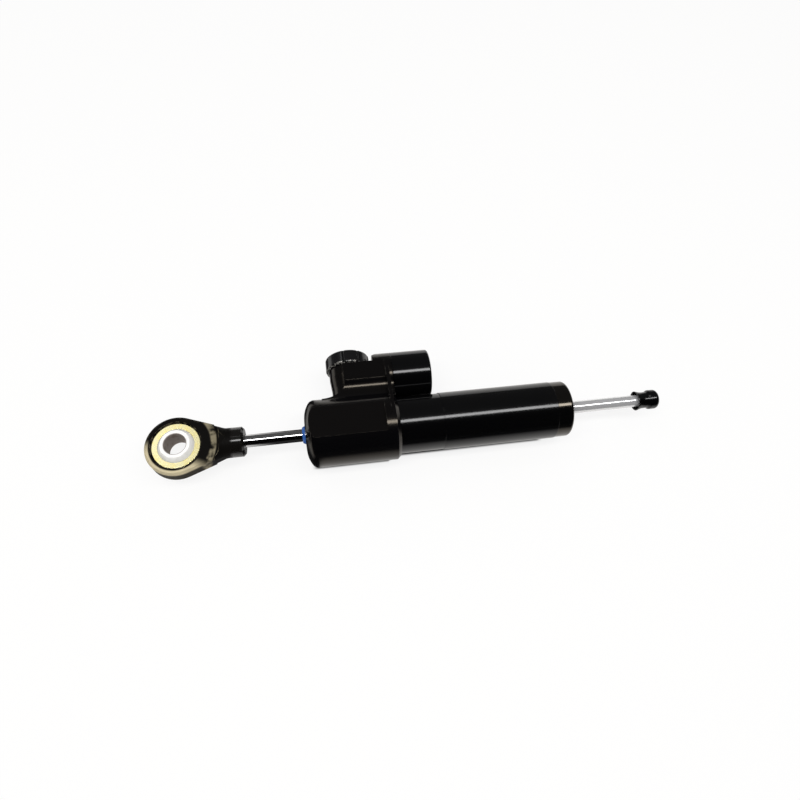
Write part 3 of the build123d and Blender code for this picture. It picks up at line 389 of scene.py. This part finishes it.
class MetalFinishes(bpy.types.PropertyGroup):
    """The bright metals and the coloured seal."""
    rod_colour: FloatVectorProperty(
        name="Rod colour", description="Base colour of the chromed rod",
        subtype="COLOR", default=(0.78, 0.78, 0.79))
    # The ball's near-white colour is a painted reflection of its bright surroundings
    painted_reflection_ball_colour: FloatVectorProperty(
        name="Ball colour", description="Base colour of the bearing ball",
        subtype="COLOR", default=(0.95, 0.94, 0.91))
    # The bore of the ball is drawn dark brown
    bore_colour: FloatVectorProperty(
        name="Bore colour", description="Colour of the brown film in the bore of the ball",
        subtype="COLOR", default=(0.2, 0.15, 0.13))
    ring_colour: FloatVectorProperty(
        name="Ring colour", description="Base colour of the yellow plated ring",
        subtype="COLOR", default=(0.9, 0.77, 0.32))
    ring_pale_colour: FloatVectorProperty(
        name="Pale ring colour", description="Paler patches of the plating",
        subtype="COLOR", default=(0.96, 0.89, 0.52))
    seal_colour: FloatVectorProperty(
        name="Wiper colour", description="Base colour of the wiper seals",
        subtype="COLOR", default=(0.03, 0.13, 0.45))
    rod_roughness: FloatProperty(
        name="Rod roughness", description="Roughness of the rod",
        subtype="FACTOR", min=0, max=1, default=0.05)
    ball_roughness: FloatProperty(
        name="Ball roughness", description="Roughness of the bearing ball",
        subtype="FACTOR", min=0, max=1, default=0.24)
    ring_roughness: FloatProperty(
        name="Ring roughness", description="Roughness of the plated ring",
        subtype="FACTOR", min=0, max=1, default=0.2)
    seal_roughness: FloatProperty(
        name="Wiper roughness", description="Roughness of the wiper seals",
        subtype="FACTOR", min=0, max=1, default=0.3)


class StageSettings(bpy.types.PropertyGroup):
    """The floor, the lamps, the walls' light and the camera."""
    floor_colour: FloatVectorProperty(
        name="Floor colour", description="Colour of the floor", subtype="COLOR",
        default=(0.88, 0.865, 0.845))
    floor_half: FloatProperty(
        name="Floor half size", description="Half the side of the floor", unit="LENGTH", default=2.5)
    floor_glow: FloatProperty(
        name="Floor glow", description="Share of plain white in the floor that the camera sees",
        subtype="FACTOR", min=0, max=1, default=0.85)
    sky_strength: FloatProperty(
        name="Sky strength", description="Strength of the soft light from all round", default=0.5)
    ceiling_glow: FloatProperty(
        name="Ceiling glow", description="Strength of the ceiling that shows in bright metal",
        default=0.085)
    strip_power: FloatProperty(
        name="Strip lamp power", description="Power of the long lamp overhead", unit="POWER", default=8.5)
    window_power: FloatProperty(
        name="Window lamp power", description="Power of the soft lamp over the rod end", unit="POWER",
        default=0.8)
    lens: FloatProperty(
        name="Lens", description="Focal length of the camera", subtype="DISTANCE_CAMERA", default=27.0)
    camera_place: FloatVectorProperty(
        name="Camera place", description="Where the camera stands", subtype="XYZ", unit="LENGTH",
        default=(0.07038, -0.10856, 0.2699))
    camera_turn: FloatVectorProperty(
        name="Camera turn", description="The camera's turn about X, Y and Z", subtype="EULER",
        unit="ROTATION", default=(math.radians(24.96), math.radians(-4.03), math.radians(-8.03)))


def satin_black(name, colour, rubbed, roughness, tint):
    """Bead-blasted and anodised aluminium, a little rubbed on its edges."""
    finish = Finish(name)
    grain = finish.noise(BLAST_GRAIN, GRAINY)
    smear = finish.noise(HEAD_SMEAR, SOFT, HEAD_STRETCH)
    rubbing = finish.edges(RUBBED_EDGE) * finish.noise(RUBBED_PATCH, GRAINY).ramp(*RUBBED_SPREAD)
    return finish.ends(
        Base_Color=finish.mixed(rubbing * 0.15, colour, rubbed),
        Roughness=roughness + smear * 0.06 + grain * 0.03,
        Normal=finish.bumped(grain, GRAIN_DEPTH, finish.rounded(HEAD_ROUND)),
        IOR=HEAD_INDEX, Specular_Tint=opaque(tint))


def knobbed_black(name, colour, rubbed, roughness):
    """Anodised knob with painted glints, bright spots in a band on its rim beside the boss."""
    finish = Finish(name)
    grain = finish.noise(BLAST_GRAIN, GRAINY)
    rim = finish.along("Y").band(KNOB_GLINT_RIM_START, KNOB_GLINT_RIM_END)
    # Painted glints: bright, partly metallic spots on the rim stand in for the lamp's reflections, in the
    # rubbed colour
    painted_glints = rim * finish.noise(KNOB_GLINT).ramp(*KNOB_GLINT_SPREAD)
    return finish.ends(
        Base_Color=finish.mixed(painted_glints * 0.8, colour, rubbed),
        Metallic=painted_glints * 0.6,
        Roughness=roughness + grain * 0.04,
        Normal=finish.bumped(grain, GRAIN_DEPTH, finish.rounded(KNOB_ROUND)),
        IOR=KNOB_INDEX)


def turned_black(name, colour, roughness, tint=WHITE, index=TUBE_INDEX):
    """Turned and anodised aluminium with fine tool marks round the rod's axis."""
    finish = Finish(name)
    marks = finish.rings(finish.along("X"), TUBE_MARKS)
    smear = finish.noise(TUBE_SMEAR, CLOUDY, TUBE_STRETCH)
    return finish.ends(
        Base_Color=opaque(colour),
        Roughness=roughness + smear * 0.04 + marks * 0.02,
        Normal=finish.bumped(marks, TUBE_MARKS_DEPTH, finish.rounded(TUBE_ROUND)),
        IOR=index, Specular_Tint=opaque(tint))


def rod_end_wear_and_reflection(name, colour, khaki, roughness):
    """Black anodising with khaki wear on edges and the neck's ramp; its near and left rims are khaki wear
    and a painted floor reflection.
    """
    finish = Finish(name)
    grain = finish.noise(END_GRAIN, GRAINY)
    patch = finish.noise(WORN_PATCH, GRAINY)
    radius = finish.from_axis("Z")
    # Painted reflection of the floor, mixed with wear: khaki on the near and left rims, kept to the upper
    # part of the side
    side = finish.towards(RIM_WEAR_AND_REFLECTION_DIRECTION).ramp(*RIM_WEAR_AND_REFLECTION_SIDE)
    upper = 0.04 + finish.along("Z").ramp(*RIM_WEAR_AND_REFLECTION_HEIGHT) * 0.96
    rim = radius.ramp(*RIM_WEAR_AND_REFLECTION_RADIUS) * side * upper
    ramp = radius.band(WORN_RAMP_START, WORN_RAMP_END) * patch.ramp(*WORN_RAMP_SPREAD)
    neck = radius.ramp(*GLOSSY_NECK)
    edge = finish.edges(WORN_EDGE) * patch.ramp(*WORN_EDGE_SPREAD) * (1 - neck)
    wear_and_reflection = (rim * (0.65 + patch * 0.5) + ramp * 0.35 + edge * 0.4).kept()
    return finish.ends(
        Base_Color=finish.mixed(wear_and_reflection, colour, khaki),
        Metallic=wear_and_reflection * 0.35,
        Roughness=roughness + grain * 0.1, IOR=WORN_INDEX,
        Coat_Weight=neck, Coat_Roughness=0.1, Coat_IOR=NECK_INDEX,
        Normal=finish.bumped(grain, GRAIN_DEPTH, finish.rounded(END_ROUND)))


def chromed(name, colour, roughness):
    """Ground and chromed rod with hair-fine marks round it, duller outside the end cap."""
    finish = Finish(name)
    marks = finish.rings(finish.along("X"), ROD_MARKS)
    film = finish.noise(ROD_FILM, CLOUDY, ROD_STRETCH)
    dull = finish.along("X").ramp(*DULL_ROD)
    return finish.ends(
        Base_Color=opaque(colour), Metallic=1 - dull * 0.38,
        Roughness=roughness + film * 0.03 + marks * 0.01 + dull * 0.1,
        Normal=finish.bumped(marks, ROD_MARKS_DEPTH, finish.round_normal()))


def painted_reflection_steel(name, colour, bore, roughness):
    """Near-white, hardly metallic bearing steel, a painted reflection of a polished ball, with turned
    faces, faint brown patches and a dark brown bore.
    """
    finish = Finish(name)
    radius = finish.from_axis("Z")
    marks = finish.rings(radius, BALL_MARKS)
    film = finish.noise(BALL_FILM, GRAINY).ramp(*BALL_FILM_SPREAD)
    # The bore is drawn dark brown, and faint brown patches lie elsewhere on the ball
    brown = ((1 - radius.ramp(*DARK_BORE_END)) * 0.9 + film * 0.2).kept()
    return finish.ends(
        Base_Color=finish.mixed(brown, colour, bore), Metallic=0.1,
        Roughness=roughness + brown * 0.15 + marks * 0.03,
        Normal=finish.bumped(marks, BALL_MARKS_DEPTH, finish.rounded(BALL_ROUND)))


def yellow_plated(name, colour, pale, roughness):
    """Pale yellow zinc plating over turned steel."""
    finish = Finish(name)
    marks = finish.rings(finish.from_axis("Z"), RING_MARKS)
    patch = finish.noise(RING_PATCH).ramp(*PLATING_SPREAD)
    return finish.ends(
        Base_Color=finish.mixed(patch, colour, pale), Metallic=1.0,
        Roughness=roughness + patch * 0.05 + marks * 0.03,
        Normal=finish.bumped(marks, RING_MARKS_DEPTH, finish.rounded(RING_ROUND)))


def soft_moulding(name, colour, roughness):
    """Moulded rubber or plastic with a fine skin."""
    finish = Finish(name)
    skin = finish.noise(SKIN)
    patch = finish.noise(SKIN_PATCH, SOFT)
    return finish.ends(
        Base_Color=finish.mixed(patch * 0.4, colour, darker(colour, 0.7)),
        Roughness=roughness + skin * 0.1,
        Normal=finish.bumped(skin, SKIN_DEPTH, finish.rounded(MOULDED_ROUND)))


def bare_metal(name, colour, roughness, axis="X"):
    """Bare metal that is turned about one axis, for the pieces inside."""
    finish = Finish(name)
    marks = finish.rings(finish.along(axis), TURNED_MARKS)
    cloud = finish.noise(TURNED_CLOUD)
    return finish.ends(
        Base_Color=finish.mixed(cloud * 0.5, colour, darker(colour, 0.75)),
        Metallic=1.0,
        Roughness=roughness + cloud * 0.1 + marks * 0.05,
        Normal=finish.bumped(marks, TURNED_MARKS_DEPTH, finish.rounded(TURNED_ROUND)))


def dress(material, *nodes):
    """Gives CAD nodes a material in place of their plain one."""
    for name in nodes:
        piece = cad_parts[name]
        if not piece.material_slots:
            piece.data.materials.append(material)
        for place in piece.material_slots:
            place.material = material


class DAMPER_OT_body(bpy.types.Operator):
    """Finishes the head block, the tube, the end cap and the side chamber"""
    bl_idname = "damper.body"
    bl_label = "Body"

    def execute(self, context):
        look = context.scene.damper_black
        dress(satin_black("satin_black_head", look.head_colour, look.rubbed_and_glint_colour, look.head_roughness,
                          look.warm_shine),
              "head_block")
        dress(turned_black("turned_black_tube", look.tube_colour, look.tube_roughness),
              "damper_tube", "chamber_cap")
        dress(turned_black("gloss_black_cap", look.tube_colour, look.cap_roughness, look.warm_shine,
                           CAP_INDEX),
              "tube_end_cap")
        return {"FINISHED"}


class DAMPER_OT_rod(bpy.types.Operator):
    """Finishes the rod and the stop on its free end"""
    bl_idname = "damper.rod"
    bl_label = "Rod and stop"

    def execute(self, context):
        metal = context.scene.damper_metal
        black = context.scene.damper_black
        dress(chromed("chromed_rod", metal.rod_colour, metal.rod_roughness), "through_rod")
        dress(turned_black("gloss_black_stop", black.tube_colour, black.stop_roughness), "free_end_stop")
        return {"FINISHED"}


class DAMPER_OT_eye(bpy.types.Operator):
    """Finishes the rod end and its bearing"""
    bl_idname = "damper.eye"
    bl_label = "Rod end"

    def execute(self, context):
        metal = context.scene.damper_metal
        black = context.scene.damper_black
        dress(rod_end_wear_and_reflection("black_rod_end_wear_and_reflection", black.eye_colour, black.khaki_wear_and_reflection_colour, black.eye_roughness),
              "rod_end_housing")
        dress(yellow_plated("yellow_plated_ring", metal.ring_colour, metal.ring_pale_colour,
                            metal.ring_roughness),
              "bearing_outer_ring")
        dress(painted_reflection_steel("polished_ball", metal.painted_reflection_ball_colour, metal.bore_colour, metal.ball_roughness),
              "bearing_ball")
        return {"FINISHED"}


class DAMPER_OT_adjuster(bpy.types.Operator):
    """Finishes the adjuster, the screws and the ground steel pieces"""
    bl_idname = "damper.adjuster"
    bl_label = "Adjuster and screws"

    def execute(self, context):
        black = context.scene.damper_black
        dress(knobbed_black("anodised_black_knob", black.knob_colour, black.rubbed_and_glint_colour,
                            black.knob_roughness),
              "adjuster_knob")
        dress(bare_metal("ground_steel", *GROUND_STEEL, "Y"),
              "adjuster_spindle", "adjuster_needle", "needle_key_pin", "detent_ball", "cylinder_liner")
        dress(bare_metal("blackened_steel", *BLACKENED_STEEL, "Y"),
              "knob_screw", "bleed_screw", "rod_lock_screw")
        return {"FINISHED"}


class DAMPER_OT_inside(bpy.types.Operator):
    """Finishes the seals, bushes, springs and pistons"""
    bl_idname = "damper.inside"
    bl_label = "Seals and inner pieces"

    def execute(self, context):
        metal = context.scene.damper_metal
        dress(soft_moulding("blue_wiper", metal.seal_colour, metal.seal_roughness),
              "head_wiper_seal", "cap_wiper_seal")
        dress(soft_moulding("black_rubber", *RUBBER),
              "head_rod_seal", "cap_rod_seal", "static_o_rings", "floating_piston_ring",
              "adjuster_o_rings")
        dress(soft_moulding("slide_band", *SLIDE_BAND), "piston_band")
        dress(bare_metal("turned_bronze", *BRONZE),
              "head_guide_bush", "cap_guide_bush", "adjuster_bushing")
        dress(bare_metal("spring_steel", *SPRING_STEEL),
              "gland_clips", "piston_clips", "chamber_spring", "detent_spring")
        dress(bare_metal("turned_aluminium", *ALUMINIUM), "floating_piston", "damping_piston")
        return {"FINISHED"}


def finish_floor(settings):
    """Pale floor with a painted shadow right under the body, and painted shade that reflections see on the
    near side and before the nose.
    """
    finish = Finish("pale_floor")
    cloud = finish.noise(FLOOR_CLOUD, SOFT)
    material = finish.ends(
        Base_Color=finish.mixed(cloud * 0.1, settings.floor_colour, FLOOR_CLOUD_COLOUR),
        Roughness=FLOOR_ROUGHNESS + cloud * 0.05)
    lit = Reading(finish, finish.shader.outputs[0])
    lengthwise = finish.along("X")
    head = 1 - lengthwise.ramp(*PAINTED_SHADOW_HEAD_END)
    reach = finish.from_axis("X") - head * PAINTED_SHADOW_HEAD_EXTRA
    # Painted shadow: the floor under the body is drawn dark for every ray
    painted_shadow = lengthwise.band(PAINTED_SHADOW_START, PAINTED_SHADOW_END) * (1 - reach.ramp(*PAINTED_SHADOW_REACH))
    near_painted_shade = (0 - finish.along("Y")).ramp(*NEAR_PAINTED_SHADE)
    nose_painted_shade = lengthwise.band(NOSE_PAINTED_SHADE_START, NOSE_PAINTED_SHADE_END)
    # Painted shade: reflections see the floor drawn dark on the near side and before the nose
    painted_shade = finish.ray("Glossy") * (near_painted_shade + nose_painted_shade) + painted_shadow
    shaded = finish.blend(painted_shade.kept(), lit, finish.white("Emission", PAINTED_SHADE_LEVEL))
    glow = finish.ray("Camera") * (1 - painted_shadow) * settings.floor_glow
    finish.shown(finish.blend(glow, shaded, finish.white("Emission", 1.0)), "Material Output")
    return material


def make_floor(settings):
    """A plain pale floor right under the damper."""
    half = settings.floor_half
    low = CAD_BOX[0].z
    corners = [(-half, -half, low), (half, -half, low), (half, half, low), (-half, half, low)]
    mesh = bpy.data.meshes.new("floor")
    mesh.from_pydata(corners, [], [(0, 1, 2, 3)])
    mesh.materials.append(finish_floor(settings))
    floor = bpy.data.objects.new("floor", mesh)
    bpy.context.scene.collection.objects.link(floor)


def make_lamp(name, place, target, size, power):
    """A rectangular soft lamp that points at a target."""
    lamp = bpy.data.lights.new(name, "AREA")
    lamp.shape = "RECTANGLE"
    lamp.size, lamp.size_y = size
    lamp.energy = power
    holder = bpy.data.objects.new(name, lamp)
    bpy.context.scene.collection.objects.link(holder)
    holder.location = place
    holder.rotation_euler = (target - place).to_track_quat("-Z", "Y").to_euler()


def make_sky(settings):
    """White for the camera, a dark ceiling for reflections and even light for all else."""
    world = bpy.data.worlds.new("studio")
    bpy.context.scene.world = world
    board = Board(world)
    where = board.node("ShaderNodeTexCoord", output="Generated")
    behind = board.node("ShaderNodeSeparateXYZ", None, {0: where}, "Y").ramp(*CEILING_START)
    ceiling = board.blend(behind, board.white("Background", 0.0),
                          board.white("Background", settings.ceiling_glow))
    mirrored = board.blend(board.ray("Glossy"), board.white("Background", settings.sky_strength), ceiling)
    board.shown(board.blend(board.ray("Camera"), mirrored, board.white("Background", 1.0)), "World Output")


def make_camera(settings):
    """The camera at the viewing angle of the photograph."""
    camera = bpy.data.cameras.new("camera")
    camera.lens = settings.lens
    camera.sensor_width = FILM_WIDTH
    camera.clip_start = NEAREST_VIEW
    holder = bpy.data.objects.new("camera", camera)
    bpy.context.scene.collection.objects.link(holder)
    holder.location = settings.camera_place
    holder.rotation_euler = Euler(settings.camera_turn)
    bpy.context.scene.camera = holder


class DAMPER_OT_stage(bpy.types.Operator):
    """Makes the floor, the lamps, the walls' light and the camera"""
    bl_idname = "damper.stage"
    bl_label = "Stage"

    def execute(self, context):
        settings = context.scene.damper_stage
        context.scene.view_settings.view_transform = "Standard"
        make_floor(settings)
        make_sky(settings)
        middle = (CAD_BOX[0] + CAD_BOX[1]) / 2
        make_lamp("strip_lamp", middle + Vector(STRIP_OFFSET), middle, STRIP_SIZE, settings.strip_power)
        make_lamp("window_lamp", Vector(WINDOW_PLACE), Vector(), WINDOW_SIZE, settings.window_power)
        make_camera(settings)
        return {"FINISHED"}


class DAMPER_PT_panel(bpy.types.Panel):
    """Lists the damper's operators in the sidebar"""
    bl_label = "Steering damper"
    bl_idname = "DAMPER_PT_panel"
    bl_space_type = "VIEW_3D"
    bl_region_type = "UI"
    bl_category = "Damper"

    def draw(self, context):
        for operator in OPERATORS:
            self.layout.operator(operator.bl_idname)


OPERATORS = (DAMPER_OT_body, DAMPER_OT_rod, DAMPER_OT_eye, DAMPER_OT_adjuster, DAMPER_OT_inside,
             DAMPER_OT_stage)
GROUPS = {"damper_black": BlackFinishes, "damper_metal": MetalFinishes, "damper_stage": StageSettings}


def register():
    """Registers the settings, the operators and the panel."""
    for name, group in GROUPS.items():
        bpy.utils.register_class(group)
        setattr(bpy.types.Scene, name, PointerProperty(type=group))
    for operator in OPERATORS:
        bpy.utils.register_class(operator)
    bpy.utils.register_class(DAMPER_PT_panel)


def unregister():
    """Takes back all that register added."""
    bpy.utils.unregister_class(DAMPER_PT_panel)
    for operator in reversed(OPERATORS):
        bpy.utils.unregister_class(operator)
    for name, group in GROUPS.items():
        delattr(bpy.types.Scene, name)
        bpy.utils.unregister_class(group)


def main():
    """Registers the tools, dresses the damper and sets the stage."""
    register()
    bpy.ops.damper.body()
    bpy.ops.damper.rod()
    bpy.ops.damper.eye()
    bpy.ops.damper.adjuster()
    bpy.ops.damper.inside()
    bpy.ops.damper.stage()


if __name__ == "__main__":
    main()
